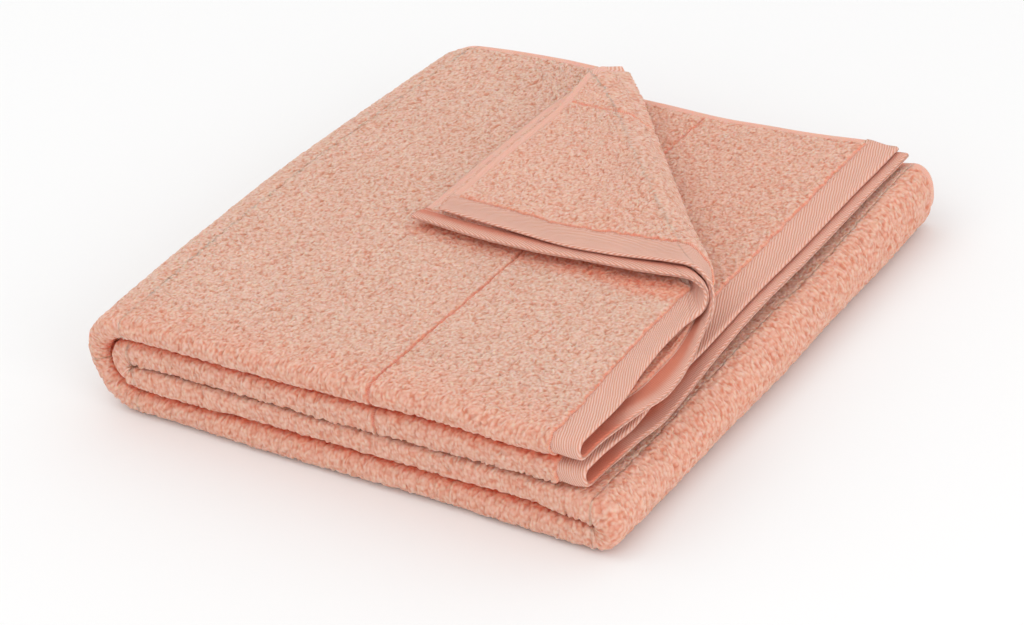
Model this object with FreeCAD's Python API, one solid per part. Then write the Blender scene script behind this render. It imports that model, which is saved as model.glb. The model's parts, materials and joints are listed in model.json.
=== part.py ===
"""Folded terry bath towel, 70 x 140 cm, lying flat with one corner turned back.

The towel is folded once across its width and then twice along its length, which
makes four runs of doubled cloth, eight layers in all:

    top panel           ends in hem A, joins the bottom panel round the outer left fold
    middle panel        ends in hem B, joins the lower middle panel round the inner left fold
    lower middle panel  joins the bottom panel round the right fold
    bottom panel        rests on the table

Seen from the front every run is a U lying on its side: two layers that meet in the
front fold, with both selvedges at the back. The back right corner of the top panel
is turned over its crease and lies on the panel.

Frame: millimetres, +X from the left folds to the hems, +Y from the front fold to the
selvedges, +Z up. The origin is under the middle of the stack, on the table.
"""
import FreeCAD
import Part

import math
import os

# Driving dimensions, in millimetres.
stack_length = 372.0  # left folds to right fold
stack_depth = 346.0  # front fold to selvedge, half of the towel's 700 mm width and its fold
cloth_thickness = 8.4  # one layer of terry, loop tip to loop tip
layer_gap = 0.4  # between any two layers that lie on each other
selvedge_width = 5.0  # flat woven edge without loops
selvedge_thickness = 1.6
hem_setback = 26.0  # from the right fold's outside to the hems' outer edge
hem_width = 20.0  # binding tape, as seen on either face
hem_thickness = 3.0
ground_thickness = 1.2  # woven ground of the terry, inside the tape
ground_clearance = 0.05  # between ground and tape, on each face
tape_edge = 1.0  # tape beyond the end of the ground
stripe_from_hem = 131.0  # loop-free woven stripe, from the hem's outer edge
stripe_width = 2.4
stripe_depth = 2.6
thread_from_loops = 2.6  # seam's distance from the first loops
thread_width = 0.6
thread_height = 0.35
crease_on_hem = 128.0  # from the front to where the crease crosses the hem
crease_on_back = 139.0  # from the left end to where the crease crosses the selvedge

# What follows from them.
run_thickness = 2 * cloth_thickness + layer_gap
run_pitch = run_thickness + layer_gap
stack_height = 3 * run_pitch + run_thickness
bend = run_thickness / 2  # outer radius of the front fold
layer_pitch = cloth_thickness + layer_gap
left_axis_x = stack_height / 2 - stack_length / 2
left_axis_z = stack_height / 2
right_axis_z = run_thickness + layer_gap / 2
right_axis_x = stack_length / 2 - right_axis_z  # the fold's outside is round, down to the table
front_y = -stack_depth / 2
back_y = stack_depth / 2
loops_end_y = back_y - selvedge_width
hem_edge_x = stack_length / 2 - hem_setback
loops_end_x = hem_edge_x - hem_width
stripe_x = hem_edge_x - stripe_from_hem
ground_end_x = hem_edge_x - tape_edge
thread_x = loops_end_x + thread_from_loops

X = FreeCAD.Vector(1, 0, 0)
Y = FreeCAD.Vector(0, 1, 0)


def run_floor(number):
    """Height of the underside of run 0 (bottom) to 3 (top)."""
    return number * run_pitch


def face_from(points):
    """Face in the YZ plane from a loop of (y, z) points; a triple (y, z, "arc") is an arc's middle."""
    edges = []
    loop = points + points[:1]
    place = 0
    while place < len(loop) - 1:
        start = FreeCAD.Vector(0, *loop[place][:2])
        through = loop[place + 1]
        if len(through) == 3:
            end = FreeCAD.Vector(0, *loop[place + 2][:2])
            edges.append(Part.Arc(start, FreeCAD.Vector(0, *through[:2]), end).toShape())
            place += 2
        else:
            edges.append(Part.LineSegment(start, FreeCAD.Vector(0, *through)).toShape())
            place += 1
    return Part.Face(Part.Wire(edges))


def run_section(floor):
    """The two layers of a run with their front fold and their selvedges."""
    middle = floor + bend
    top = floor + run_thickness
    fold_y = front_y + bend
    lower = floor + cloth_thickness / 2
    upper = lower + layer_pitch
    half = selvedge_thickness / 2
    return face_from([
        (loops_end_y, floor), (fold_y, floor), (front_y, middle, "arc"), (fold_y, top),
        (loops_end_y, top), (loops_end_y, upper + half), (back_y, upper + half),
        (back_y, upper - half), (loops_end_y, upper - half),
        (loops_end_y, middle + layer_gap / 2), (fold_y, middle + layer_gap / 2),
        (fold_y - layer_gap / 2, middle, "arc"), (fold_y, middle - layer_gap / 2),
        (loops_end_y, middle - layer_gap / 2), (loops_end_y, lower + half),
        (back_y, lower + half), (back_y, lower - half), (loops_end_y, lower - half),
    ])


def band_section(floor, inside, outside):
    """A U-shaped band between two offsets from the layers' middles, positive outwards."""
    middle = floor + bend
    fold_y = front_y + bend
    small = layer_pitch / 2 + inside
    large = layer_pitch / 2 + outside
    return face_from([
        (back_y, middle - large), (fold_y, middle - large), (fold_y - large, middle, "arc"),
        (fold_y, middle + large), (back_y, middle + large), (back_y, middle + small),
        (fold_y, middle + small), (fold_y - small, middle, "arc"),
        (fold_y, middle - small), (back_y, middle - small),
    ])


def extrude(section, start_x, end_x):
    """A section carried straight along X."""
    moved = section.copy()
    moved.translate(FreeCAD.Vector(start_x, 0, 0))
    return moved.extrude(X * (end_x - start_x))


def wrap(section, axis_x, axis_z, side):
    """A section carried half a turn round an axis along Y; side is +1 to the right."""
    moved = section.copy()
    moved.translate(FreeCAD.Vector(axis_x, 0, 0))
    return moved.revolve(FreeCAD.Vector(axis_x, 0, axis_z), Y * -side, 180)


def striped(run, floor):
    """Cuts the woven stripe into the outside of a run, round its front fold."""
    left = stripe_x - stripe_width / 2
    right = stripe_x + stripe_width / 2
    depth = cloth_thickness / 2
    ring = extrude(band_section(floor, depth - stripe_depth, depth + stripe_depth), left, right)
    return run.cut(ring)


def hemmed_run(floor):
    """A run that ends in a hem: loops, stripe and the bare ground that the tape covers."""
    loops = striped(extrude(run_section(floor), left_axis_x, loops_end_x), floor)
    half = ground_thickness / 2
    ground = extrude(band_section(floor, -half, half), loops_end_x, ground_end_x)
    return loops.fuse(ground)


def hem_tape(floor):
    """Binding tape folded round the end of both layers, closed at its outer edge."""
    half = hem_thickness / 2
    slot = ground_thickness / 2 + ground_clearance
    tape = extrude(band_section(floor, -half, half), loops_end_x, hem_edge_x)
    return tape.cut(extrude(band_section(floor, -slot, slot), loops_end_x, ground_end_x))


def seam_thread(floor, inside, outside):
    """One of the lockstitch seam's two threads, on one face of the tape."""
    return extrude(band_section(floor, inside, outside), thread_x, thread_x + thread_width)


def needle_thread(floor):
    half = hem_thickness / 2
    return seam_thread(floor, half, half + thread_height)


def bobbin_thread(floor):
    half = hem_thickness / 2
    return seam_thread(floor, -half - thread_height, -half)


# The crease of the turned corner. n points from the panel to the corner, e along the crease.
hem_point = FreeCAD.Vector(hem_edge_x, front_y + crease_on_hem, 0)
back_point = FreeCAD.Vector(crease_on_back - stack_length / 2, back_y, 0)
e = (back_point - hem_point).normalize()
n = FreeCAD.Vector(e.y, -e.x, 0)
crease_z = stack_height + layer_gap / 2
crease_middle = layer_gap / 2 + bend  # radius of the middle of the turned run
crease_strip = math.pi * crease_middle  # cloth taken up by the crease
turn_axis = hem_point + n * (crease_strip / 2) + FreeCAD.Vector(0, 0, crease_z)


def half_space(distance, side):
    """A large block on one side of the upright plane at that distance from the crease."""
    size = 4 * stack_length
    block = Part.makeBox(size, size, size, FreeCAD.Vector(-size / 2, 0, -size / 2))
    towards = math.degrees(math.atan2(side * n.y, side * n.x)) - 90
    block.rotate(FreeCAD.Vector(0, 0, 0), FreeCAD.Vector(0, 0, 1), towards)
    block.translate(hem_point + n * distance)
    return block


before_crease = half_space(0, -1)
after_crease = half_space(crease_strip, 1)
in_front_of_selvedge = Part.makeBox(
    2 * stack_length, 2 * stack_depth, 4 * stack_height,
    FreeCAD.Vector(-stack_length, back_y - 2 * stack_depth, 0))


def stays(shape):
    """The part of a top-panel piece that is not turned."""
    return shape.common(before_crease)


def turned(shape):
    """The corner of a top-panel piece, turned half a turn over the crease."""
    corner = shape.common(after_crease)
    corner.rotate(turn_axis, e, -180)
    return corner


def along_x(x):
    """Where the flat cloth's line at this x meets the crease strip's two sides, along e."""
    return [(x - hem_point.x - n.x * across) / e.x for across in (0, crease_strip)]


def along_y(y):
    """The same for the flat cloth's line at this y."""
    return [(y - hem_point.y - n.y * across) / e.y for across in (0, crease_strip)]


def crease_tube(layer_radius, inside, outside, start, end):
    """One layer's band bent half a turn round the crease, between two lines of the flat cloth."""
    reach = 2 * stack_depth
    middle = hem_point + FreeCAD.Vector(0, 0, crease_z)
    tube = Part.makeCylinder(layer_radius + outside, reach * 2, middle - e * reach, e)
    tube = tube.cut(Part.makeCylinder(layer_radius + inside, reach * 2, middle - e * reach, e))
    corners = []
    for (first, last), rises in (start, (-2, 2)), (end, (2, -2)):
        for rise in rises:
            place = (first + last) / 2 + rise * (last - first) / 2
            corners.append(middle + e * place + FreeCAD.Vector(0, 0, rise * layer_radius))
    slab = Part.Face(Part.makePolygon(corners + corners[:1]))
    return tube.common(slab.extrude(n * (2 * stack_depth))).common(in_front_of_selvedge)


def both_layers(band):
    """A band made once for each of the corner's two layers."""
    inner_layer = (layer_gap + cloth_thickness) / 2
    return Part.makeCompound([band(inner_layer), band(inner_layer + layer_pitch)])


def corner_crease(layer):
    """Loops, selvedge and the ground that the tape covers, bent round the crease."""
    loops = cloth_thickness / 2
    edge = selvedge_thickness / 2
    half = ground_thickness / 2
    piece = crease_tube(layer, -loops, loops, along_x(loops_end_x), along_y(loops_end_y))
    piece = piece.fuse(crease_tube(layer, -edge, edge, along_y(loops_end_y), along_y(back_y)))
    return piece.fuse(crease_tube(layer, -half, half, along_x(ground_end_x), along_x(loops_end_x)))


def crease_tape(layer):
    """The binding tape, bent round the crease with its slot for the ground."""
    half = hem_thickness / 2
    slot = ground_thickness / 2 + ground_clearance
    tape = crease_tube(layer, -half, half, along_x(hem_edge_x), along_x(loops_end_x))
    return tape.cut(crease_tube(layer, -slot, slot, along_x(ground_end_x), along_x(loops_end_x)))


def crease_thread(layer):
    """The seam's two threads, bent round the crease."""
    half = hem_thickness / 2
    seam = along_x(thread_x + thread_width), along_x(thread_x)
    outer = crease_tube(layer, half, half + thread_height, *seam)
    return Part.makeCompound([outer, crease_tube(layer, -half - thread_height, -half, *seam)])


def seam(floor, keep):
    """Needle and bobbin thread of a hem, each kept to one side of the crease."""
    return Part.makeCompound([keep(needle_thread(floor)), keep(bobbin_thread(floor))])


def whole(shape):
    return shape


bottom, lower_middle, middle, top = [run_floor(number) for number in range(4)]
lowest_section = run_section(bottom)

nodes = {
    # Lower half of the stack, which lies still.
    "bottom_panel": extrude(lowest_section, left_axis_x, right_axis_x),
    "right_fold": wrap(lowest_section, right_axis_x, right_axis_z, 1),
    "lower_middle_panel": extrude(run_section(lower_middle), left_axis_x, right_axis_x),
    "inner_left_fold": wrap(run_section(lower_middle), left_axis_x, left_axis_z, -1),
    "outer_left_fold": wrap(lowest_section, left_axis_x, left_axis_z, -1),
    # Second run from the top, with hem B.
    "middle_panel": hemmed_run(middle),
    "hem_b_tape": hem_tape(middle),
    "hem_b_seam": seam(middle, whole),
    # Top run up to the crease, with hem A.
    "top_panel": stays(hemmed_run(top)),
    "hem_a_tape": stays(hem_tape(top)),
    "hem_a_seam": seam(top, stays),
    # The crease.
    "corner_crease": both_layers(corner_crease),
    "crease_tape": both_layers(crease_tape),
    "crease_seam": both_layers(crease_thread),
    # The turned corner, upside down on the top run.
    "corner_flap": turned(hemmed_run(top)),
    "corner_tape": turned(hem_tape(top)),
    "corner_seam": seam(top, turned),
}

os.makedirs("parts", exist_ok=True)
for name, shape in nodes.items():
    shape.exportStep(f"parts/{name}.step")
    print(f"{name}: {len(shape.Solids)} solids, {shape.Volume / 1000:.2f} cm3")

print(f"left folds turn about x {left_axis_x:.3f}, z {left_axis_z:.3f}, along -Y")
print(f"corner turns about {turn_axis}, along {e}")
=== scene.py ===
"""A folded terry bath towel, 70 x 140 cm, with taped hems and one corner turned back.

The towel is one cloth, described by two flat coordinates: the distance along it from hem A to
hem B, and the distance across it from the front fold. Every piece is a stretch of that cloth.
A chain of formulas puts its points in place:

    section   bends the cloth round its front fold, so that each run is two layers
    run, wrap carry a section straight along X, or half a turn round a left or right fold
    crease    turns what lies past the diagonal crease over the top run
    settle    lets the whole stack swell, lean and sag a little, as soft cloth does

Lengths are in metres. +X runs from the left folds to the hems, +Y from the front fold to the
selvedges and +Z up.
"""
import bpy
import json
import math
import numpy as np
from mathutils import Matrix, Vector


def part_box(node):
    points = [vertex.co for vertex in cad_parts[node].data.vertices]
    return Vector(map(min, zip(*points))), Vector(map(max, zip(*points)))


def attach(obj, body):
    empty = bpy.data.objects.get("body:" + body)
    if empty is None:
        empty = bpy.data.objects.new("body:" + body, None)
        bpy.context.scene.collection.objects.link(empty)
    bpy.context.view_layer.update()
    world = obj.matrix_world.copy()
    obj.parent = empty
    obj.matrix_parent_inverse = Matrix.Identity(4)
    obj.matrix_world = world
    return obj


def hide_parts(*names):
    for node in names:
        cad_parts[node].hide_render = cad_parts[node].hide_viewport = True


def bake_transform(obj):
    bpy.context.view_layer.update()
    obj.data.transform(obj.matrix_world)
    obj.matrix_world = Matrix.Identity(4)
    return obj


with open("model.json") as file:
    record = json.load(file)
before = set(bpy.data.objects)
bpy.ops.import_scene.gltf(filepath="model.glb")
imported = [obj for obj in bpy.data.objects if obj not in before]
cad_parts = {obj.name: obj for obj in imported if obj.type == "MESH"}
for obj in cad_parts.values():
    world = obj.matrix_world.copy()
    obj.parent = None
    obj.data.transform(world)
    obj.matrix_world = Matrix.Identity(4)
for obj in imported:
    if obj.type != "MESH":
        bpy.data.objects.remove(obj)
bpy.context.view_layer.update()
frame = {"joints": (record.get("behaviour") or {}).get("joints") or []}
mm = 0.001

# ---------------------------------------------------------------- sizes, read from the frame

bottom_low, bottom_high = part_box("bottom_panel")
lower_middle_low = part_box("lower_middle_panel")[0]
top_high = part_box("top_panel")[1]
tape_low, tape_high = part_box("hem_b_tape")
corner_joint = [joint for joint in frame["joints"] if joint["name"] == "corner_unfolds"][0]

front_y, back_y = bottom_low[1], bottom_high[1]
left_x, right_x = bottom_low[0], bottom_high[0]
stack_left, stack_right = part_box("outer_left_fold")[0][0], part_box("right_fold")[1][0]
run_height = bottom_high[2] - bottom_low[2]
pitch = lower_middle_low[2] - bottom_low[2]
gap = pitch - run_height
stack_height = top_high[2]
cloth = (run_height - gap) / 2
bend = run_height / 2
layer_radius = (cloth + gap) / 2
left_z = stack_height / 2
right_z = run_height + gap / 2
loops_end, hem_edge = tape_low[0], tape_high[0]
bottom, lower_middle, middle, top = [bend + pitch * number for number in range(4)]

# The towel's own measures. The front fold's axis is at fold_y, and quarter is the cloth's length
# over a quarter turn round it.
selvedge = 5 * mm
half_cloth = cloth / 2
half_selvedge = 0.8 * mm
half_tape = 1.5 * mm
half_slot = 0.65 * mm
stripe_x = hem_edge - 131 * mm
stripe_half = 0.4 * mm
fold_y = front_y + bend
quarter = math.pi / 2 * layer_radius
half_width = back_y - fold_y + quarter

# The crease: n points from the top run to the turned corner and e along the crease.
e = np.array(corner_joint["axis"][:2])
e = e / np.linalg.norm(e)
n = np.array([e[1], -e[0]])
crease_z = corner_joint["pos_m"][2]
crease_radius = crease_z - top
strip = math.pi * crease_radius
hem_point = np.array(corner_joint["pos_m"][:2]) - n * strip / 2


# ---------------------------------------------------------------- noise

def smooth(low, high, value):
    """A soft step: 0 below low, 1 above high, and 3t^2 - 2t^3 between them."""
    t = np.clip((value - low) / (high - low), 0, 1)
    return t * t * (3 - 2 * t)


def scatter(i, j, seed):
    """A fixed random number from 0 to 1 for each whole-numbered place (i, j)."""
    mixed = (i * 374761393 + j * 668265263 + seed * 362437) & 0xFFFFFFFF
    mixed = ((mixed ^ (mixed >> 13)) * 1274126177) & 0xFFFFFFFF
    return ((mixed ^ (mixed >> 16)) & 0xFFFFFF) / float(0x1000000)


def ripple(u, v, size, seed):
    """Smooth noise from -1 to 1 with humps about size wide, blended between lattice values."""
    u, v = np.broadcast_arrays(u / size, v / size)
    i, j = np.floor(u).astype(np.int64), np.floor(v).astype(np.int64)
    a, b = u - i, v - j
    a, b = a * a * (3 - 2 * a), b * b * (3 - 2 * b)
    near = scatter(i, j, seed) * (1 - a) + scatter(i + 1, j, seed) * a
    far = scatter(i, j + 1, seed) * (1 - a) + scatter(i + 1, j + 1, seed) * a
    return 2 * (near * (1 - b) + far * b) - 1


def strands(u, v, size, seed):
    """Short curled strands from 0 to 1: the highest of half-ellipsoids at jittered lattice
    places, each turned its own way and twice as long as it is wide."""
    u, v = np.broadcast_arrays(u / size, v / size)
    i, j = np.floor(u).astype(np.int64), np.floor(v).astype(np.int64)
    best = np.zeros_like(u)
    for step_i in (-1, 0, 1):
        for step_j in (-1, 0, 1):
            p, q = i + step_i, j + step_j
            from_u = u - (p + 0.15 + 0.7 * scatter(p, q, seed))
            from_v = v - (q + 0.15 + 0.7 * scatter(p, q, seed + 1))
            turn = math.pi * scatter(p, q, seed + 2)
            lengthways = from_u * np.cos(turn) + from_v * np.sin(turn)
            sideways = from_v * np.cos(turn) - from_u * np.sin(turn)
            rise = 0.55 + 0.45 * scatter(p, q, seed + 3)
            inside = np.clip(1 - (lengthways / 0.95) ** 2 - (sideways / 0.5) ** 2, 0, 1)
            best = np.maximum(best, rise * np.sqrt(inside))
    return best


# ---------------------------------------------------------------- folding the cloth

def squareness(x, across, height):
    """Exponent of a run's rounded square: the free one, or more where two runs press together,
    the two middle ones all along and the two lowest near the right fold."""
    free, more_at_middle, more_at_fold = 2.2, 12, 4
    middle_pair = (height == middle) & (across < 0) | (height == lower_middle) & (across > 0)
    low_pair = (height == bottom) & (across > 0) | (height == lower_middle) & (across < 0)
    near_fold = smooth(right_x - 45 * mm, right_x - 10 * mm, x)
    square = free + more_at_middle * middle_pair * smooth(hem_edge, loops_end, x)
    return square + more_at_fold * low_pair * near_fold


def section(across, outward, square, radius=layer_radius):
    """y and height over the run's middle, for a place across the cloth and a distance outward.

    Within a quarter turn either side of the front fold the cloth follows a rounded square (a
    superellipse), and beyond that both layers run straight back.
    """
    angle = np.clip(across / quarter, -1, 1) * (math.pi / 2)
    c, s = np.abs(np.cos(angle)), np.sin(angle)
    fuller = (c**square + np.abs(s) ** square) ** (-1 / square)
    size = radius + outward
    return fold_y - size * c * fuller + np.maximum(np.abs(across) - quarter, 0), size * s * fuller


def slip(x, across, height):
    """How far a hem's layer has slid out past its other layer, in X on the flat cloth.

    The lower layer of either hem slides out behind the front fold. Hem A's upper layer draws back
    in front of the crease and slides out at the corner, its lower layer draws back past the
    crease, and its tape is rolled a little narrower.
    """
    behind = np.abs(across)
    back = smooth(15 * mm, 75 * mm, behind)
    reach = smooth(loops_end - 80 * mm, loops_end, x)
    if height != top:
        return reach * back * np.where(across < 0, 6 * mm, 0)
    past = behind - crease_across(x)
    share = np.clip((past - strip) / (half_width - strip - crease_across(hem_edge)), 0, 1)
    bow = 3.5 * np.sin(math.pi * share)
    lower = 13 - 15.5 * smooth(-50 * mm, 50 * mm, past) + 6.5 * smooth(60 * mm, 130 * mm, past)
    upper = -3 + 9 * smooth(-10 * mm, 35 * mm, past) + 8 * smooth(45 * mm, 170 * mm, past)
    rolled = 4.5 * smooth(loops_end, hem_edge, x) * smooth(30 * mm, 120 * mm, behind)
    return (back * reach * (np.where(across < 0, lower, upper) + bow) - rolled) * mm


def fan(x, across):
    """How far the turned corner's two layers have moved apart sideways, in Y on the flat cloth."""
    past = np.abs(across) - crease_across(x) - strip
    return smooth(0, 70 * mm, past) * np.where(across < 0, -7.0 * mm, 6.0 * mm)


def run(x, across, outward, height, radius=layer_radius):
    """A straight run whose middle lies at that height."""
    y, rise = section(across, outward, squareness(x, across, height), radius)
    if height == top:
        y = y + fan(x, across)
    if height in (middle, top):
        x = x + slip(x, across, height)
    return np.stack(np.broadcast_arrays(x, y, height + rise), -1)


def wrap(turn, across, outward, axis_x, axis_z, start, side):
    """Half a turn round an axis along Y, from the run at height start up to the one above."""
    y, rise = section(across, outward, squareness(axis_x, across, start))
    radius = axis_z - start - rise
    x = axis_x + side * radius * np.sin(turn)
    return np.stack(np.broadcast_arrays(x, y, axis_z - radius * np.cos(turn)), -1)


def crease(points):
    """Points past the crease are rolled half a turn over it, and then lie flat the other way up."""
    flat = points[..., :2] - hem_point
    along, past = flat @ e, flat @ n
    radius = crease_z - points[..., 2]
    turn = np.clip(past / strip, 0, 1) * math.pi
    rolled = radius * np.sin(turn) - np.maximum(past - strip, 0)
    plan = hem_point + along[..., None] * e + np.where(past > 0, rolled, past)[..., None] * n
    return np.concatenate([plan, (crease_z - radius * np.cos(turn))[..., None]], -1)


def settle(points):
    """The stack's soft shape, as smooth shifts of places u from left to right and w from front to
    back: it is thicker to the right, its corners are pulled about, and its left side bulges.
    Shifts in X and Y are in millimetres."""
    x, y, z = points[..., 0], points[..., 1], points[..., 2]
    upper = smooth(left_z - 4 * mm, left_z + 4 * mm, z)
    x = x + 8 * mm * upper * smooth(stripe_x, hem_edge, x) * smooth(back_y - 60 * mm, front_y, y)
    u = (x - stack_left) / (stack_right - stack_left)
    w = (y - front_y) / (back_y - front_y)
    left, front = 1 - u, 1 - w

    # heights: the turned corner lies down, the right end swells and the top is a little uneven
    on_top = np.maximum(z - stack_height, 0)
    turned = smooth(0, 6 * mm, on_top)
    z = np.minimum(z, stack_height) + on_top * (0.86 - 0.3 * w * w)
    swollen = 4 * mm * (1 - upper) * smooth(0.8, 1, u) * smooth(0.6, 1, w) * z / right_z
    z = z * (0.939 + 0.109 * u) + swollen
    lift = z / stack_height
    z = z + 1.5 * mm * lift * smooth(0.7, 1, w) * smooth(0.02, 0.12, u) * smooth(0.4, 0.2, u)
    z = z + lift * (1.6 * mm * ripple(x, y, 90 * mm, 11) + 0.8 * mm * ripple(x, y, 40 * mm, 12))

    # along X: the corners, the bulging left side, the turned corner and the crease's back end
    shift_x = 0.6 * left * front + 1.7 * u * front - 3.2 * u * w + 10 * left * w
    middle_way = np.sin(math.pi * np.clip(w, 0, 1))
    shift_x = shift_x - 10 * middle_way * smooth(0.6, 0, u) - 9 * w * w * turned
    apex = np.exp(-(((x - crease_x(half_width)) / (45 * mm)) ** 2)) * w**3
    shift_x = shift_x - 10 * apex * smooth(stack_height - run_height, stack_height - cloth, z)

    # along Y: the corners, the back edge, and the front drawn in at half the height on the left
    shift_y = 0.6 * left * front - 4 * u * front + 5.8 * u * w - 2.4 * left * w
    shift_y = shift_y + 8 * upper * w * w * (1 - turned) * smooth(0.65, 0.3, u)
    shift_y = shift_y + 5 * w * w * smooth(0.75, 1, u)
    recess = np.exp(-(((z - left_z) / (0.4 * left_z)) ** 2)) * smooth(0.12, 0, w)
    shift_y = shift_y + 2 * recess

    swing = 1.2 * ripple(y, z * 3, 60 * mm, 14)
    sway = 1.2 * ripple(x, z * 3, 60 * mm, 13)
    return np.stack([x + (shift_x + swing) * mm, y + (shift_y + sway) * mm, z], -1)


# ---------------------------------------------------------------- the cloth's own coordinates

def along_cloth():
    """Where each stretch starts along the towel, from hem A round all the folds to hem B."""
    outer, small = left_z - bottom, left_z - lower_middle
    lengths = {
        "top": hem_edge - left_x, "outer_wrap": math.pi * outer, "bottom": right_x - left_x,
        "right_wrap": math.pi * small, "lower_middle": right_x - left_x,
        "inner_wrap": math.pi * small, "middle": hem_edge - left_x,
    }
    starts, total = {}, 0
    for name, length in lengths.items():
        starts[name] = total
        total += length
    return starts


starts = along_cloth()


def pile(along, across):
    """Height of the loops from 0, the ground, to 1, the tips."""
    curl = 0.8 * mm
    u = along + curl * ripple(along, across, 3.6 * mm, 1)
    v = across + curl * ripple(along, across, 3.6 * mm, 2)
    height = 0.66 * strands(u, v, 3.2 * mm, 3) + 0.34 * strands(u, v, 2.2 * mm, 7)
    return height * (0.94 + 0.06 * ripple(along, across, 17 * mm, 5))


def spaced(low, high, step):
    """Numbers from low to high, at most step apart."""
    return np.linspace(low, high, max(2, math.ceil(abs(high - low) / step) + 1))


def joined(*stretches):
    """Stretches of numbers end to end, each without its last, which the next one starts with."""
    return np.concatenate([s[:-1] for s in stretches[:-1]] + [stretches[-1]])


# ---------------------------------------------------------------- meshes

# The last field is a painted shade mask for crevices and the places under folds, from 0 to 1.
field_names = ("loops", "pile", "hollow")


def rounded(depth, radius):
    """How full the loops are at that depth inside their edge: a quarter circle from 0 to 1."""
    t = np.clip(depth / radius, 0, 1)
    return np.sqrt(1 - (1 - t) ** 2)


def volume_of(points):
    """Signed volume inside a swept ring with fanned ends; positive if its faces point outwards."""
    following = np.roll(points, -1, axis=1)
    a, b, c, d = points[:-1], points[1:], following[1:], following[:-1]
    total = (np.cross(a, b) * c).sum() + (np.cross(a, c) * d).sum()
    for end, sign in (0, 1), (-1, -1):
        middle_point = points[end].mean(axis=0)
        total += sign * (np.cross(points[end], following[end]) @ middle_point).sum()
    return total


def make_piece(name, grids, material):
    """One mesh from swept rings, whose flat ends keep sharp edges. Each grid holds points of
    shape (columns, around, 3), the values named in fields, and each point's place on the flat
    cloth as its UV."""
    corners, faces, values, places, ends_at = [], [], [], [], []
    first = 0
    for points, fields, flat in grids:
        columns, around = points.shape[:2]
        index = first + np.arange(columns * around).reshape(columns, around)
        following = np.roll(index, -1, axis=1)
        quads = np.stack([index[:-1], index[1:], following[1:], following[:-1]], -1).reshape(-1, 4)
        ends = [index[0].tolist(), index[-1][::-1].tolist()]
        if volume_of(points) < 0:
            quads = quads[:, ::-1]
            ends = [end[::-1] for end in ends]
        corners.append(points.reshape(-1, 3))
        faces += quads.tolist() + ends
        ends_at += [len(faces) - 2, len(faces) - 1]
        values.append(fields.reshape(-1, len(field_names)))
        places.append(flat.reshape(-1, 2))
        first += columns * around
    mesh = bpy.data.meshes.new(name)
    mesh.from_pydata(np.concatenate(corners), [], faces)
    values, places = np.concatenate(values), np.concatenate(places)
    for number, label in enumerate(field_names):
        attribute = mesh.attributes.new(label, "FLOAT", "POINT")
        attribute.data.foreach_set("value", values[:, number].astype(np.float32))
    corner_vertices = np.empty(len(mesh.loops), np.int32)
    mesh.loops.foreach_get("vertex_index", corner_vertices)
    uv = mesh.uv_layers.new(name="cloth")
    uv.data.foreach_set("uv", places[corner_vertices].astype(np.float32).ravel())
    softened = np.ones(len(mesh.polygons), bool)
    softened[ends_at] = False
    mesh.polygons.foreach_set("use_smooth", softened)
    mesh.materials.append(material)
    piece = bpy.data.objects.new(name, mesh)
    bpy.context.scene.collection.objects.link(piece)
    return piece


# ---------------------------------------------------------------- terry

pile_depth = 2.3 * mm
fine, medium, coarse = 1.25 * mm, 2.4 * mm, 7 * mm
tuck = 2.6 * mm  # how far the last loops hang over the tape
lap = 0.8 * mm  # how far a panel runs on under the crease


def hollow(stretch, x, across):
    """Painted shade on the outside of the cloth, from 0 to 1 in a crevice: it mixes in the
    saturated colours that stand for shade and for light bounced between the cloth's folds.

    A run's nose opens its loops a little, so their roots show, and takes a faint painted shade that
    grows deeper towards the run beside it. Beyond the hem, or the crease, the run below comes into
    the open under a light painted shade, and a painted shadow lies where the turned corner's rim
    lies close over the top.
    """
    # Painted shade: a faint tint on the nose, and a deeper one towards the run beside it, where shade
    # falls.
    nose = 0.16 * (1 - smooth(0.8 * quarter, 6 * quarter, np.abs(across)))
    beside = smooth(0.25 * quarter, 1.2 * quarter, np.abs(across))
    beside = beside * (1 - smooth(2.5 * quarter, 5 * quarter, np.abs(across)))
    if stretch in ("bottom", "outer_wrap"):
        return np.where(across > 0, np.maximum(beside, nose), nose)
    # The right fold also takes a fixed painted shade of 0.2 on its other side.
    if stretch == "right_wrap":
        return np.where(across > 0, np.maximum(beside, nose), 0.2)
    if stretch == "inner_wrap":
        return np.maximum(beside, nose)
    if stretch == "lower_middle":
        # Painted shade where this run shows past hem B, under the run above.
        ledge = smooth(hem_edge, hem_edge + 14 * mm, x)
        above = np.maximum(0.35 * beside, nose) * (1 - ledge) + 0.2 * ledge
        return np.where(across < 0, np.maximum(beside, nose), above)
    past = (x - crease_x(across)) * n[0]
    # Painted shade where the middle run shows past the crease, and in its crevices.
    if stretch == "middle":
        shown = smooth(0, 20 * mm, past)
        above = np.maximum(beside, nose) * (1 - shown) + 0.1 * shown
        return np.where(across < 0, np.maximum(0.35 * beside, nose), above)
    # Painted shadow on the top run along the turned corner's rim, where it lies close over the top.
    turned_over = strip - 2 * past
    over_x = x + n[0] * turned_over
    over_y = fold_y + across - quarter + n[1] * turned_over
    outside = np.maximum(over_x - hem_edge - 7 * mm, over_y - back_y)
    rim = smooth(-16 * mm, -4 * mm, outside) * (1 - smooth(-2 * mm, 14 * mm, outside))
    shade = 0.5 * rim * (past < 0)
    return np.where(across < 0, np.maximum(beside, nose), np.maximum(shade, nose))


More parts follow.
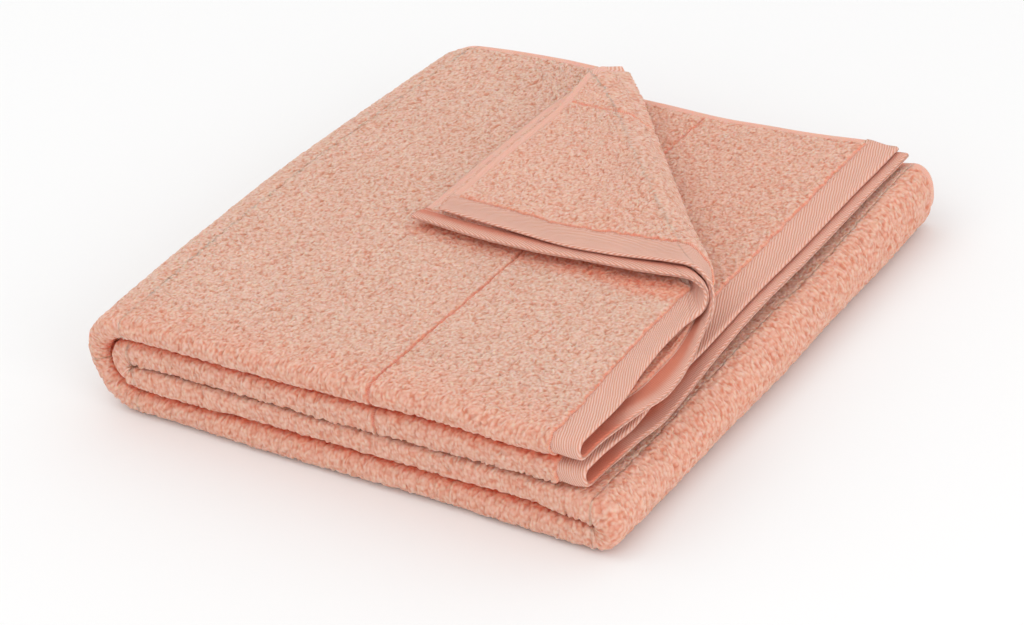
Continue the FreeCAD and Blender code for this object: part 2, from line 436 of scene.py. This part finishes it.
def terry(x, across, face, along, heading, side, place, striped, depth):
    """Terry at the given flat places. Its surface is half the cloth's thickness from the middle,
    less what the pile's valleys, the stripe, the selvedge and the hem take away. heading and side
    are 1 or -1, as the distances along and across the towel grow or fall with x and across."""
    # depth is the outer face's painted crevice shade, from 0 to 1.
    full = rounded(half_width - selvedge - np.abs(across), 3 * mm)
    on_cloth = side * across
    if striped:
        bare = 1 - rounded(np.abs(x - stripe_x) - stripe_half, 1.5 * mm)
        full = full * (1 - 0.75 * bare) * rounded(loops_end + tuck - x, 2.2 * mm)
        hem_side = smooth(loops_end + tuck - 1.6 * mm, loops_end + tuck, x)
        # Painted shade in the stripe's bare groove and where the last loops meet the tape.
        depth = np.maximum(depth, np.maximum(0.9 * bare, 0.8 * hem_side))
        last_loops = smooth(loops_end - 5 * mm, loops_end + tuck, x)
        x = x + 0.9 * mm * last_loops * ripple(on_cloth, 0, 3.2 * mm, 23)
    other_face = on_cloth + np.where(face > 0, 0.0, 5.0)
    height = pile(along, other_face)
    loops = half_cloth - half_selvedge - pile_depth * (1 - height)
    outward = face * (half_selvedge + full * loops)
    stray = 0.6 * mm * full * smooth(0, 3 * mm, half_width - np.abs(across))
    x = x + heading * stray * ripple(along, other_face, 2.8 * mm, 21)
    across = across + side * stray * ripple(along, other_face, 2.8 * mm, 22)
    points = settle(place(x, across, outward))
    # Painted shade on the inner faces, where a run's two layers face each other, less near the selvedge.
    inside = 0.4 - 0.3 * smooth(half_width - 30 * mm, half_width - 16 * mm, np.abs(across))
    fields = np.stack([full, full * height, np.where(face > 0, depth, inside) + 0 * height], -1)
    return points, fields, np.stack(np.broadcast_arrays(along, on_cloth), -1)


def ring(low, high, outer_steps, inner_step):
    """A closed line round the cloth: its outer face from low to high, and its inner face back.

    outer_steps gives the spacing below, round and above the front fold.
    """
    tips = half_width - 9 * mm
    bounds = [-half_width, -tips, -2 * quarter, 2 * quarter, tips, half_width]
    steps = [0.9 * mm, outer_steps[0], outer_steps[1], outer_steps[2], 0.9 * mm]
    stretches = []
    for start, end, step in zip(bounds[:-1], bounds[1:], steps):
        if end > low and start < high:
            stretches.append(spaced(max(start, low), min(end, high), step))
    outer = joined(*stretches)
    inner = []
    for start, end in zip(bounds[:-1], bounds[1:]):
        if end > low and start < high:
            step = 2 * mm if end - start < 30 * mm else inner_step
            inner.append(spaced(max(start, low), min(end, high), step))
    inner = joined(*inner)[::-1]
    across = np.concatenate([outer, inner])
    return across, np.concatenate([np.ones(len(outer)), -np.ones(len(inner))])


def straight_terry(name, height, stretch, to_x, steps, column, material):
    """A whole run of terry from the left folds to a line across it.

    Where that line comes in from the longest row's end, the last 60 mm of the columns close up.
    """
    across, face = ring(-half_width, half_width, steps, coarse)
    end = to_x(across)
    last = end.max()
    striped = stretch in ("top", "middle")
    if striped:
        groove = 2.4 * mm
        full = joined(spaced(left_x, stripe_x - groove, column),
                      spaced(stripe_x - groove, stripe_x + groove, 0.6 * mm),
                      spaced(stripe_x + groove, last - 2 * groove, column),
                      spaced(last - 2 * groove, last, 0.7 * mm))
    else:
        full = spaced(left_x, last, column)
    closing = end - 60 * mm
    share = (full[:, None] - closing) / (last - closing)
    x = np.where(share > 0, closing + share * (end - closing), full[:, None])
    heading, origin = {"top": (-1, hem_edge), "bottom": (1, left_x), "lower_middle": (-1, right_x),
                       "middle": (1, left_x)}[stretch]
    along = starts[stretch] + heading * (x - origin)

    def place(at_x, at_across, outward):
        return run(at_x, at_across, outward, height)

    across = np.broadcast_to(across, x.shape)
    depth = hollow(stretch, x, across)
    return make_piece(name, [terry(x, across, face, along, heading, -heading, place, striped, depth)],
                      material)


def wrapped_terry(name, stretch, axis_x, axis_z, start, side, turns, steps, column, material):
    """A stretch of terry that goes from turns[0] to turns[1] round a left or right fold."""
    across, face = ring(-half_width, half_width, steps, coarse)
    turn = spaced(*turns, column)[:, None]
    length = axis_z - start
    if stretch == "outer_wrap":
        along = starts[stretch] + length * (math.pi - turn)
    else:
        along = starts[stretch] + length * turn
    turned, across, along = np.broadcast_arrays(turn, across, along)

    def place(at_turn, at_across, outward):
        return wrap(turn + (at_turn - turn) / length, at_across, outward, axis_x, axis_z, start, side)

    heading = -1 if stretch == "outer_wrap" else 1
    side_of_cloth = 1 if stretch == "inner_wrap" else -1
    depth = hollow(stretch, turned, across)
    return make_piece(name, [terry(turned, across, face, along, heading, side_of_cloth, place, False,
                                   depth)], material)


def crease_x(across, past=0.0):
    """X of the line at that distance past the crease, at a place across the top run."""
    y = fold_y + np.abs(across) - quarter
    return hem_point[0] + (past - (y - hem_point[1]) * n[1]) / n[0]


def crease_across(x, past=0.0):
    """The same line's place across the top run, at a given X."""
    return hem_point[1] + (past - (x - hem_point[0]) * n[0]) / n[1] - fold_y + quarter


def layer_terry(name, from_past, to_past, material):
    """Both layers of the top run between two distances past the crease, each a shell of its own."""
    limit = loops_end + tuck
    grids, area, width = [], 0, 0
    for side, step in (-1, fine), (1, medium):
        low = crease_across(limit, from_past) + 0.4 * mm
        across, face = ring(low, half_width, (fine, fine, step), medium)
        begin = crease_x(across, from_past)
        end = limit if to_past is None else np.minimum(crease_x(across, to_past), limit)
        x = begin + spaced(0, 1, fine / (end - begin).max())[:, None] * (end - begin)
        lengths = (end - begin)[face > 0]
        area += (lengths[1:] + lengths[:-1]) / 2 @ np.diff(across[face > 0])
        width += half_width - low
        across = np.broadcast_to(side * across, x.shape)

        def place(at_x, at_across, outward):
            return crease(run(at_x, at_across, outward, top))

        along = starts["top"] + hem_edge - x
        # A faint painted shade of 0.1 over the outer faces of the turned layers.
        grids.append(terry(x, across, face, along, -1, 1, place, True, 0.1))
    if to_past is None:
        limit - crease_x(half_width, from_past)
    return make_piece(name, grids, material)


# ---------------------------------------------------------------- hem tape and its seam

def hem_radius(x, across):
    """Half the distance between a hem's two layers: the tape springs open near the front fold."""
    out = smooth(loops_end, loops_end + 14 * mm, x)
    behind = np.abs(across)
    opening = 2.6 * (1 - smooth(15 * mm, 60 * mm, behind))
    opening = opening + 2.2 * smooth(45 * mm, 75 * mm, behind) * (1 - smooth(90 * mm, 130 * mm, behind))
    opening = opening - 0.8 * smooth(120 * mm, 160 * mm, behind)
    return layer_radius + out * (opening - 1.8) * mm


def tape_outline():
    """The folded tape's outline as X and distance outward: two plies closed round the hem."""
    reach = spaced(loops_end, hem_edge - half_tape, 2.2 * mm)
    turn = spaced(math.pi / 2, -math.pi / 2, math.pi / 6)
    slot = spaced(hem_edge - half_tape, loops_end, 6 * mm)
    x = np.concatenate([reach[:-1], hem_edge - half_tape + half_tape * np.cos(turn), reach[::-1][1:],
                        slot[::-1], slot])
    outward = np.concatenate([np.full(len(reach) - 1, half_tape), half_tape * np.sin(turn),
                              np.full(len(reach) - 1, -half_tape), np.full(len(slot), -half_slot),
                              np.full(len(slot), half_slot)])
    return x, outward


def tape_strip(outline, low, high, place, step):
    """Tape swept across the cloth between two lines, which may slant as the crease does."""
    x, outward = outline
    start, end = low(x), high(x)
    share = spaced(0, 1, step / np.abs(end - start).max())[:, None]
    across = start + share * (end - start)
    x = np.broadcast_to(x, across.shape)
    pucker = 0.12 * mm * ripple(x, across, 5 * mm, 31)
    points = settle(place(x, across, outward + pucker * np.sign(outward)))
    # Painted shade on the tape's faces inside the hem's bend, less at its back edge behind the front.
    edge = smooth(hem_edge - 11 * mm, hem_edge - 3 * mm, x) * smooth(25 * mm, 50 * mm, np.abs(across))
    inside = (outward < -half_slot) * (1 - 0.85 * edge)
    fields = np.stack([0 * across, 0 * across, inside], -1)
    return points, fields, np.stack([across, x - loops_end + (outward < 0) * 30 * mm], -1)


def stitch_strip(face, low, high, place):
    """A thread along the seam that dips into the tape between its stitches."""
    middle_x = loops_end + 2.9 * mm
    angle = np.arange(6) * math.pi / 3
    stitch, thick = 2.8 * mm, 0.3 * mm
    start, end = low(middle_x), high(middle_x)
    across = spaced(start, end, 0.45 * mm)[:, None]
    rise = np.sqrt(np.abs(np.sin(across / stitch * math.pi)))
    x = middle_x + thick * np.cos(angle) + 0 * across
    outward = face * (half_tape - thick + (1.3 * thick) * rise + thick * np.sin(angle))
    points = settle(place(x, across + 0 * x, outward))
    fields = np.zeros(x.shape + (len(field_names),))
    return points, fields, np.stack([across + 0 * x, 0 * across + angle * thick], -1)


def hem_place(height, turned):
    """The map from a hem's flat places to its run, over the crease where the corner is turned."""
    def place(x, across, outward):
        points = run(x, across, outward, height, hem_radius(x, across))
        return crease(points) if turned else points
    return place


def hem_lines(part):
    """The lines across the cloth between which a part of a hem runs, for each of its strips."""
    if part == "whole":
        return [(lambda x: -half_width + 0 * x, lambda x: half_width + 0 * x)]
    if part == "kept":
        return [(lambda x: -crease_across(x), crease_across)]
    if part == "crease":
        return [(lambda x, s=s: s * crease_across(x), lambda x, s=s: s * crease_across(x, strip))
                for s in (-1, 1)]
    return [(lambda x, s=s: s * crease_across(x, strip), lambda x, s=s: s * half_width + 0 * x)
            for s in (-1, 1)]


def hem_tape(name, height, part, material):
    """One part of a hem's binding tape."""
    place = hem_place(height, part != "whole")
    step = 0.5 * mm if part == "crease" else 1.5 * mm
    strips = [tape_strip(tape_outline(), *lines, place, step) for lines in hem_lines(part)]
    middle_x = (loops_end + hem_edge) / 2
    length = sum(abs(high(middle_x) - low(middle_x)) for low, high in hem_lines(part))
    return make_piece(name, strips, material)


def hem_seam(name, height, part, material):
    """Needle and bobbin thread of one part of a hem."""
    place = hem_place(height, part != "whole")
    strips = [stitch_strip(face, *lines, place) for lines in hem_lines(part) for face in (1, -1)]
    return make_piece(name, strips, material)


# ---------------------------------------------------------------- materials

def linear(red, green, blue):
    """A colour given in 0 to 255 display values, as the linear values that materials take."""
    values = np.array([red, green, blue]) / 255
    return (*np.where(values <= 0.04045, values / 12.92, ((values + 0.055) / 1.055) ** 2.4), 1)


def node_group(name, inputs, outputs):
    """An empty shader node group with named sockets, and its input and output nodes."""
    group = bpy.data.node_groups.new(name, "ShaderNodeTree")
    for label, kind, value in inputs:
        socket = group.interface.new_socket(label, in_out="INPUT", socket_type=kind)
        socket.default_value = value
    for label, kind in outputs:
        group.interface.new_socket(label, in_out="OUTPUT", socket_type=kind)
    return group, group.nodes.new("NodeGroupInput"), group.nodes.new("NodeGroupOutput")


def maths(tree, operation, *values):
    """A Math node fed by sockets or numbers."""
    node = tree.nodes.new("ShaderNodeMath")
    node.operation = operation
    for place, value in enumerate(values):
        if isinstance(value, (int, float)):
            node.inputs[place].default_value = value
        else:
            tree.links.new(value, node.inputs[place])
    return node.outputs[0]


def mixed(tree, share, first, second, blend="MIX"):
    """A colour mix fed by sockets or colours."""
    node = tree.nodes.new("ShaderNodeMix")
    node.data_type, node.blend_type = "RGBA", blend
    feeds = (node.inputs["Factor"], share), (node.inputs[6], first), (node.inputs[7], second)
    for socket, value in feeds:
        if isinstance(value, (int, float, tuple)):
            socket.default_value = value
        else:
            tree.links.new(value, socket)
    return node.outputs[2]


def texture(tree, kind, coordinate, **settings):
    """A texture node reading that coordinate, with its numbers set."""
    node = tree.nodes.new(kind)
    for label, value in settings.items():
        node.inputs[label.replace("_", " ")].default_value = value
    tree.links.new(coordinate, node.inputs["Vector"])
    return node


def fabric_blotches():
    """Slow changes of dye and nap over the cloth, as a factor near 1, and stray fibres' height."""
    group, inside, outside = node_group(
        "fabric_blotches",
        [("Blotch Scale", "NodeSocketFloat", 22.0), ("Depth", "NodeSocketFloat", 0.06)],
        [("Shade", "NodeSocketFloat"), ("Fibre", "NodeSocketFloat")])
    where = group.nodes.new("ShaderNodeTexCoord").outputs["Object"]
    slow = texture(group, "ShaderNodeTexNoise", where, Detail=3.0, Roughness=0.6)
    group.links.new(inside.outputs["Blotch Scale"], slow.inputs["Scale"])
    centred = maths(group, "SUBTRACT", slow.outputs["Fac"], 0.5)
    shade = maths(group, "MULTIPLY_ADD", centred, inside.outputs["Depth"], 1.0)
    fibre = texture(group, "ShaderNodeTexNoise", where, Scale=2600.0, Detail=2.0)
    group.links.new(shade, outside.inputs["Shade"])
    group.links.new(fibre.outputs["Fac"], outside.inputs["Fibre"])
    return group


def terry_loops():
    """Loop tips over roots, the roots' darker colour being painted shade between the loops: fine curls
    add to the pile height that the mesh carries, and both colours take a painted crevice shade in
    hollows, standing for shade and light bounced from cloth to cloth."""
    group, inside, outside = node_group(
        "terry_loops",
        [(label, "NodeSocketColor", (1, 1, 1, 1)) for label in ("Tip", "Root", "Deep Tip", "Deep Root")]
        + [("Curl Scale", "NodeSocketFloat", 300.0), ("Tuft Scale", "NodeSocketFloat", 400.0)],
        [("Color", "NodeSocketColor"), ("Height", "NodeSocketFloat"), ("Loops", "NodeSocketFloat")])
    where = group.nodes.new("ShaderNodeTexCoord").outputs["Object"]
    on_cloth = group.nodes.new("ShaderNodeUVMap")
    on_cloth.uv_map = "cloth"
    curls = texture(group, "ShaderNodeTexGabor", on_cloth.outputs[0], Frequency=1.3, Anisotropy=0.0)
    curls.gabor_type = "2D"
    group.links.new(inside.outputs["Curl Scale"], curls.inputs["Scale"])
    tuft = texture(group, "ShaderNodeTexVoronoi", where)
    group.links.new(inside.outputs["Tuft Scale"], tuft.inputs["Scale"])
    round_top = maths(group, "SUBTRACT", 1.0, maths(group, "POWER", tuft.outputs["Distance"], 2.0))
    loop = maths(group, "MULTIPLY_ADD", curls.outputs["Value"], 0.6,
                 maths(group, "MULTIPLY", round_top, 0.4))
    values = {}
    for label in field_names:
        node = group.nodes.new("ShaderNodeAttribute")
        node.attribute_name = label
        values[label] = node.outputs["Fac"]
    height = maths(group, "MULTIPLY_ADD", values["pile"], 0.35, loop)
    spread = group.nodes.new("ShaderNodeMapRange")
    spread.inputs["From Min"].default_value = 0.5
    spread.inputs["From Max"].default_value = 1.0
    group.links.new(height, spread.inputs["Value"])
    # Painted shade between the loops: the roots' colour shows below the tips' by the pile's height.
    shallow = mixed(group, spread.outputs[0], inside.outputs["Root"], inside.outputs["Tip"])
    # Painted crevice shade: saturated tips and roots, mixed in by the crevice mask.
    deep = mixed(group, spread.outputs[0], inside.outputs["Deep Root"], inside.outputs["Deep Tip"])
    colour = mixed(group, values["hollow"], shallow, deep)
    group.links.new(colour, outside.inputs["Color"])
    group.links.new(maths(group, "MULTIPLY", loop, values["loops"]), outside.inputs["Height"])
    group.links.new(values["loops"], outside.inputs["Loops"])
    return group


def twill_weave():
    """Diagonal ribs crossed by fine yarns, from the cloth's flat coordinates in metres."""
    group, inside, outside = node_group(
        "twill_weave",
        [("Rib", "NodeSocketFloat", 0.0011), ("Slant", "NodeSocketFloat", 0.35)],
        [("Rib Height", "NodeSocketFloat"), ("Yarn Height", "NodeSocketFloat")])
    uv = group.nodes.new("ShaderNodeUVMap")
    uv.uv_map = "cloth"
    parts = group.nodes.new("ShaderNodeSeparateXYZ")
    group.links.new(uv.outputs[0], parts.inputs[0])
    wobble = texture(group, "ShaderNodeTexNoise", uv.outputs[0], Scale=160.0, Detail=1.0)
    slant = inside.outputs["Slant"]
    slanted = maths(group, "MULTIPLY_ADD", parts.outputs["X"], slant, parts.outputs["Y"])
    slanted = maths(group, "MULTIPLY_ADD", wobble.outputs["Fac"], 0.0012, slanted)
    turns = maths(group, "DIVIDE", slanted, inside.outputs["Rib"])
    wave = maths(group, "SINE", maths(group, "MULTIPLY", turns, 2 * math.pi))
    rib = maths(group, "MULTIPLY_ADD", wave, 0.5, 0.5)
    across_rib = maths(group, "DIVIDE", parts.outputs["X"], 0.0006)
    yarn = maths(group, "SINE", maths(group, "MULTIPLY", across_rib, 2 * math.pi))
    group.links.new(rib, outside.inputs["Rib Height"])
    group.links.new(maths(group, "MULTIPLY_ADD", yarn, 0.5, 0.5), outside.inputs["Yarn Height"])
    return group


def cloth_material(name, roughness, sheen, scatter_weight):
    """A material with a Principled shader set up for dyed cotton."""
    material = bpy.data.materials.new(name)
    material.use_nodes = True
    tree = material.node_tree
    shader = tree.nodes["Principled BSDF"]
    shader.inputs["Roughness"].default_value = roughness
    shader.inputs["Specular IOR Level"].default_value = 0.2
    shader.inputs["Sheen Weight"].default_value = sheen
    shader.inputs["Sheen Roughness"].default_value = 0.5
    shader.inputs["Sheen Tint"].default_value = linear(255, 222, 208)
    shader.inputs["Subsurface Weight"].default_value = scatter_weight
    shader.inputs["Subsurface Radius"].default_value = (1.0, 0.35, 0.2)
    shader.inputs["Subsurface Scale"].default_value = 0.0035
    return material, tree, shader


def placed(tree, group, **values):
    """A node group in a material, with its own values."""
    node = tree.nodes.new("ShaderNodeGroup")
    node.node_tree = group
    for label, value in values.items():
        node.inputs[label.replace("_", " ")].default_value = value
    return node


def add_bump(tree, shader, heights):
    """Bump nodes one after another, each with a height socket, a strength and a depth in metres."""
    normal = None
    for height, strength, depth in heights:
        bump = tree.nodes.new("ShaderNodeBump")
        bump.inputs["Strength"].default_value = strength
        bump.inputs["Distance"].default_value = depth
        tree.links.new(height, bump.inputs["Height"])
        if normal is not None:
            tree.links.new(normal, bump.inputs["Normal"])
        normal = bump.outputs[0]
    tree.links.new(normal, shader.inputs["Normal"])


tip_colour = linear(225, 195, 178)
# Loop roots: the tip colour darkened and saturated as painted shade between the loops.
root_shade_colour = linear(205, 139, 113)
# Painted crevice shade: the saturated red-orange that stands for shade and light bounced between folds.
crevice_shade_tip = linear(240, 150, 112)
crevice_shade_root = linear(236, 88, 46)
tape_colour = linear(234, 192, 177)
# Painted shade in the valleys between a weave's ribs and between a thread's plies.
rib_shade_colour = linear(214, 146, 122)
# Painted shade for the tape's faces inside a hem's bend.
tape_shade_colour = linear(216, 124, 98)
thread_colour = linear(238, 200, 186)

blotches, loops, twill = fabric_blotches(), terry_loops(), twill_weave()


def terry_material():
    """Looped pile, with a plain weave where the cloth carries no loops."""
    material, tree, shader = cloth_material("terry_cotton", 0.9, 0.3, 0.5)
    shade = placed(tree, blotches, Blotch_Scale=26.0, Depth=0.12)
    pile_group = placed(tree, loops, Tip=tip_colour, Root=root_shade_colour, Deep_Tip=crevice_shade_tip,
                        Deep_Root=crevice_shade_root, Curl_Scale=300.0, Tuft_Scale=430.0)
    weave = placed(tree, twill, Rib=0.0009, Slant=0.9)
    # Painted shade in the valleys of the plain weave's ribs.
    woven = mixed(tree, weave.outputs["Rib Height"], rib_shade_colour, tape_colour)
    colour = mixed(tree, pile_group.outputs["Loops"], woven, pile_group.outputs["Color"])
    tinted = mixed(tree, 1.0, colour, shade.outputs["Shade"], "MULTIPLY")
    tree.links.new(tinted, shader.inputs["Base Color"])
    add_bump(tree, shader, [(pile_group.outputs["Height"], 0.8, 1.6 * mm),
                            (shade.outputs["Fibre"], 0.35, 0.25 * mm)])
    return material


def tape_material():
    """Twill tape with fine diagonal ribs, with painted shade in the ribs' valleys and on the faces inside a
    hem's bend.
    """
    material, tree, shader = cloth_material("twill_tape", 0.75, 0.25, 0.2)
    shade = placed(tree, blotches, Blotch_Scale=60.0, Depth=0.08)
    weave = placed(tree, twill, Rib=0.0015, Slant=0.4)
    # Painted shade in the valleys between the tape's ribs.
    ribs = mixed(tree, weave.outputs["Rib Height"], rib_shade_colour, tape_colour)
    # Painted shade inside the hem's bend, mixed in by the crevice mask.
    inner = tree.nodes.new("ShaderNodeAttribute")
    inner.attribute_name = "hollow"
    colour = mixed(tree, inner.outputs["Fac"], ribs, tape_shade_colour)
    tinted = mixed(tree, 1.0, colour, shade.outputs["Shade"], "MULTIPLY")
    tree.links.new(tinted, shader.inputs["Base Color"])
    add_bump(tree, shader, [(weave.outputs["Rib Height"], 0.8, 0.35 * mm),
                            (weave.outputs["Yarn Height"], 0.3, 0.12 * mm),
                            (shade.outputs["Fibre"], 0.3, 0.1 * mm)])
    return material


def thread_material():
    """Spun sewing thread whose plies twist along it."""
    material, tree, shader = cloth_material("sewing_thread", 0.6, 0.2, 0.1)
    shade = placed(tree, blotches, Blotch_Scale=90.0, Depth=0.1)
    plies = placed(tree, twill, Rib=0.0005, Slant=1.0)
    # Painted shade between the thread's plies.
    colour = mixed(tree, plies.outputs["Rib Height"], rib_shade_colour, thread_colour)
    tinted = mixed(tree, 1.0, colour, shade.outputs["Shade"], "MULTIPLY")
    tree.links.new(tinted, shader.inputs["Base Color"])
    add_bump(tree, shader, [(plies.outputs["Rib Height"], 0.5, 0.1 * mm)])
    return material


terry_cotton, twill_tape, sewing_thread = terry_material(), tape_material(), thread_material()


# ---------------------------------------------------------------- the pieces

def finish_piece(piece, node, bodies):
    """Puts a piece in its CAD node's stead: on its one body, or, for a piece that lies bent between two
    bodies, with its transform baked and attached to neither.
    """
    if len(bodies) == 1:
        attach(piece, bodies[0])
    else:
        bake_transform(piece)
    for name in node:
        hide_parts(name)
    return piece


def settled(x, y, z):
    """Where a place in the stack lies once the stack has settled."""
    return settle(np.array([[x, y, z]]))[0]


small_fold_step, large_fold_step = 0.085, 0.042  # radians between a fold's columns
bottom_cloth = straight_terry("bottom_panel_terry", bottom, "bottom", lambda c: right_x + 0 * c,
                              (coarse, fine, coarse), fine, terry_cotton)
right_cloth = wrapped_terry("right_fold_terry", "right_wrap", right_x, right_z, bottom, 1, (0, math.pi),
                            (fine, fine, coarse), small_fold_step, terry_cotton)
lower_middle_cloth = straight_terry("lower_middle_panel_terry", lower_middle, "lower_middle",
                                    lambda c: right_x + 0 * c, (coarse, fine, fine), 1.7 * mm,
                                    terry_cotton)
inner_cloth = wrapped_terry("inner_left_fold_terry", "inner_wrap", left_x, left_z, lower_middle, -1,
                            (0, math.pi), (coarse, fine, coarse), small_fold_step, terry_cotton)
outer_low_cloth = wrapped_terry("outer_left_fold_lower_terry", "outer_wrap", left_x, left_z, bottom, -1,
                                (0, math.pi / 2), (fine, fine, coarse), large_fold_step, terry_cotton)
outer_high_cloth = wrapped_terry("outer_left_fold_upper_terry", "outer_wrap", left_x, left_z, bottom, -1,
                                 (math.pi / 2, math.pi), (fine, fine, coarse), large_fold_step,
                                 terry_cotton)
middle_cloth = straight_terry("middle_panel_terry", middle, "middle",
                              lambda c: loops_end + tuck + 0 * c, (coarse, fine, fine), fine,
                              terry_cotton)
top_cloth = straight_terry("top_panel_terry", top, "top",
                           lambda c: np.minimum(loops_end + tuck, crease_x(c, lap)), (coarse, fine, fine),
                           fine, terry_cotton)
crease_cloth = layer_terry("corner_crease_terry", 0.0, strip, terry_cotton)
corner_cloth = layer_terry("corner_flap_terry", strip - lap, None, terry_cotton)

tape_b = hem_tape("hem_b_twill_tape", middle, "whole", twill_tape)
seam_b = hem_seam("hem_b_stitching", middle, "whole", sewing_thread)
tape_a = hem_tape("hem_a_twill_tape", top, "kept", twill_tape)
seam_a = hem_seam("hem_a_stitching", top, "kept", sewing_thread)
tape_crease = hem_tape("crease_twill_tape", top, "crease", twill_tape)
seam_crease = hem_seam("crease_stitching", top, "crease", sewing_thread)
tape_corner = hem_tape("corner_twill_tape", top, "turned", twill_tape)
seam_corner = hem_seam("corner_stitching", top, "turned", sewing_thread)

lower_bend = [settled(left_x, 0, z) for z in (pitch, left_z)]
upper_bend = [settled(left_x, 0, z) for z in (left_z, stack_height - run_height)]
inner_bend = [settled(left_x, 0, left_z + step) for step in (-bend, bend)]
corner_bend = [settled(*hem_point, crease_z + step) for step in (-1.5 * crease_radius, 1.5 * crease_radius)]

finish_piece(bottom_cloth, ["bottom_panel"], ["lower_stack"])
finish_piece(right_cloth, ["right_fold"], ["lower_stack"])
finish_piece(lower_middle_cloth, ["lower_middle_panel"], ["lower_stack"])
finish_piece(inner_cloth, ["inner_left_fold"], ["lower_stack", "middle_run"])
finish_piece(outer_low_cloth, ["outer_left_fold"], ["lower_stack", "middle_run"])
finish_piece(outer_high_cloth, [], ["middle_run", "top_run"])
finish_piece(middle_cloth, ["middle_panel"], ["middle_run"])
finish_piece(top_cloth, ["top_panel"], ["top_run"])
finish_piece(crease_cloth, ["corner_crease"], ["top_run", "corner"])
finish_piece(corner_cloth, ["corner_flap"], ["corner"])
finish_piece(tape_b, ["hem_b_tape"], ["middle_run"])
finish_piece(seam_b, ["hem_b_seam"], ["middle_run"])
finish_piece(tape_a, ["hem_a_tape"], ["top_run"])
finish_piece(seam_a, ["hem_a_seam"], ["top_run"])
finish_piece(tape_crease, ["crease_tape"], ["top_run", "corner"])
finish_piece(seam_crease, ["crease_seam"], ["top_run", "corner"])
finish_piece(tape_corner, ["corner_tape"], ["corner"])
finish_piece(seam_corner, ["corner_seam"], ["corner"])


# ---------------------------------------------------------------- floor, light and camera

def soft_light(name, position, target, size, watts, colour=(1, 1, 1)):
    """A large square lamp that faces a point."""
    lamp = bpy.data.lights.new(name, "AREA")
    lamp.size, lamp.energy, lamp.color = size, watts, colour
    light = bpy.data.objects.new(name, lamp)
    bpy.context.scene.collection.objects.link(light)
    light.location = position
    light.rotation_euler = (Vector(target) - Vector(position)).to_track_quat("-Z", "Y").to_euler()


def add_floor():
    """A plain pale sheet that the towel lies on."""
    mesh = bpy.data.meshes.new("studio_floor")
    half = 6.0
    mesh.from_pydata([(-half, -half, 0), (half, -half, 0), (half, half, 0), (-half, half, 0)], [],
                     [(0, 1, 2, 3)])
    floor = bpy.data.objects.new("studio_floor", mesh)
    bpy.context.scene.collection.objects.link(floor)
    material = bpy.data.materials.new("pale_floor")
    material.use_nodes = True
    shader = material.node_tree.nodes["Principled BSDF"]
    shader.inputs["Base Color"].default_value = (0.9, 0.9, 0.9, 1)
    shader.inputs["Roughness"].default_value = 0.9
    shader.inputs["Specular IOR Level"].default_value = 0.1
    mesh.materials.append(material)


def add_world():
    """An even white surround."""
    world = bpy.data.worlds.new("studio")
    world.use_nodes = True
    world.node_tree.nodes["Background"].inputs["Color"].default_value = (1, 1, 1, 1)
    world.node_tree.nodes["Background"].inputs["Strength"].default_value = 0.95
    bpy.context.scene.world = world


def add_camera():
    """Stands to the right of the front, above the stack, and leans a little to its left."""
    azimuth, height, lean = math.radians(39.47), math.radians(31.33), math.radians(-9.62)
    distance = 2.04875
    target = np.array([0.0046, 0, 0.035])
    back = np.array([math.sin(azimuth) * math.cos(height), -math.cos(azimuth) * math.cos(height),
                     math.sin(height)])
    level_right = np.array([math.cos(azimuth), math.sin(azimuth), 0])
    level_up = np.cross(back, level_right)
    right = level_right * math.cos(lean) + level_up * math.sin(lean)
    up = level_up * math.cos(lean) - level_right * math.sin(lean)
    position = target + back * distance
    data = bpy.data.cameras.new("camera")
    data.sensor_width, data.lens = 36, 123.669
    data.shift_x, data.shift_y = -0.0042, -0.04014
    data.clip_start, data.clip_end = 0.05, 50
    camera = bpy.data.objects.new("camera", data)
    bpy.context.scene.collection.objects.link(camera)
    rotation = Matrix(np.stack([right, up, back], 1).tolist()).to_4x4()
    camera.matrix_world = Matrix.Translation(position.tolist()) @ rotation
    bpy.context.scene.camera = camera


add_floor()
add_world()
add_camera()
soft_light("key", (-0.9, -0.5, 2.2), (0, 0, 0), 1.6, 7, (1.0, 0.985, 0.965))
soft_light("fill", (2.2, -0.9, 0.9), (0, 0, 0.03), 1.4, 13)
bpy.context.scene.view_settings.view_transform = "Standard"
